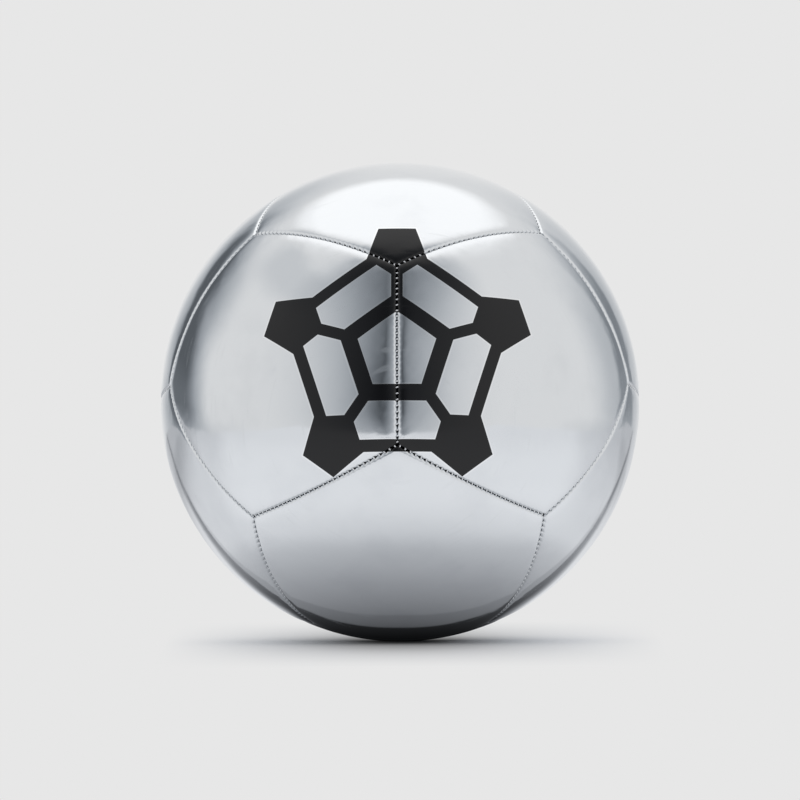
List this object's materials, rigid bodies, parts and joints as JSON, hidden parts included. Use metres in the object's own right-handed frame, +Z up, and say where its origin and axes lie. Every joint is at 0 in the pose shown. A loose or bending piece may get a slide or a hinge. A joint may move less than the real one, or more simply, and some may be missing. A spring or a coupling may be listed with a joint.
{
  "type": "mini soccer ball",
  "caption": "Small sewn ball of pentagonal metallic silver panels with a black print, over foam, cloth and a hollow rubber bladder with a needle valve.",
  "frame": {"origin": "centre of the ball, which is the centre of its bounding box", "axes": "+Z straight up as the ball rests in the picture, -Y towards the viewer, +X to the viewer's right; the valve leans 47.1 degrees from +Z towards +Y"},
  "size_m": [0.1444, 0.1442, 0.1446],
  "materials": {
    "cover_skin": "metallic silver under a clear gloss, black ink print",
    "seam_thread": "twisted polyester thread",
    "foam": "closed-cell foam, matte",
    "lining_cloth": "woven polyester and cotton",
    "bladder_rubber": "matte",
    "valve_rubber": "moulded, satin",
    "plug_rubber": "soft, matte",
    "patch_cloth": "rubbered cloth"
  },
  "bodies": {
    "root": {"cover_a_middle": "cover_skin", "cover_a_petal_1": "cover_skin", "cover_a_petal_2": "cover_skin", "cover_a_petal_3": "cover_skin", "cover_a_petal_4": "cover_skin", "cover_a_petal_5": "cover_skin", "cover_b_middle": "cover_skin", "cover_b_petal_1": "cover_skin", "cover_b_petal_2": "cover_skin", "cover_b_petal_3": "cover_skin", "cover_b_petal_4": "cover_skin", "cover_b_petal_5": "cover_skin", "foam_a_middle": "foam", "foam_a_petal_1": "foam", "foam_a_petal_2": "foam", "foam_a_petal_3": "foam", "foam_a_petal_4": "foam", "foam_a_petal_5": "foam", "foam_b_middle": "foam", "foam_b_petal_1": "foam", "foam_b_petal_2": "foam", "foam_b_petal_3": "foam", "foam_b_petal_4": "foam", "foam_b_petal_5": "foam", "lining_a_middle": "lining_cloth", "lining_a_petal_1": "lining_cloth", "lining_a_petal_2": "lining_cloth", "lining_a_petal_3": "lining_cloth", "lining_a_petal_4": "lining_cloth", "lining_a_petal_5": "lining_cloth", "lining_b_middle": "lining_cloth", "lining_b_petal_1": "lining_cloth", "lining_b_petal_2": "lining_cloth", "lining_b_petal_3": "lining_cloth", "lining_b_petal_4": "lining_cloth", "lining_b_petal_5": "lining_cloth", "thread_a_loop": "seam_thread", "thread_a_petal_1": "seam_thread", "thread_a_petal_2": "seam_thread", "thread_a_petal_3": "seam_thread", "thread_a_petal_4": "seam_thread", "thread_a_petal_5": "seam_thread", "thread_b_loop": "seam_thread", "thread_b_petal_1": "seam_thread", "thread_b_petal_2": "seam_thread", "thread_b_petal_3": "seam_thread", "thread_b_petal_4": "seam_thread", "thread_b_petal_5": "seam_thread", "thread_closing": "seam_thread", "bladder": "bladder_rubber", "valve_stem": "valve_rubber", "valve_plug": "plug_rubber", "valve_patch": "patch_cloth"}
  },
  "joints": []
}
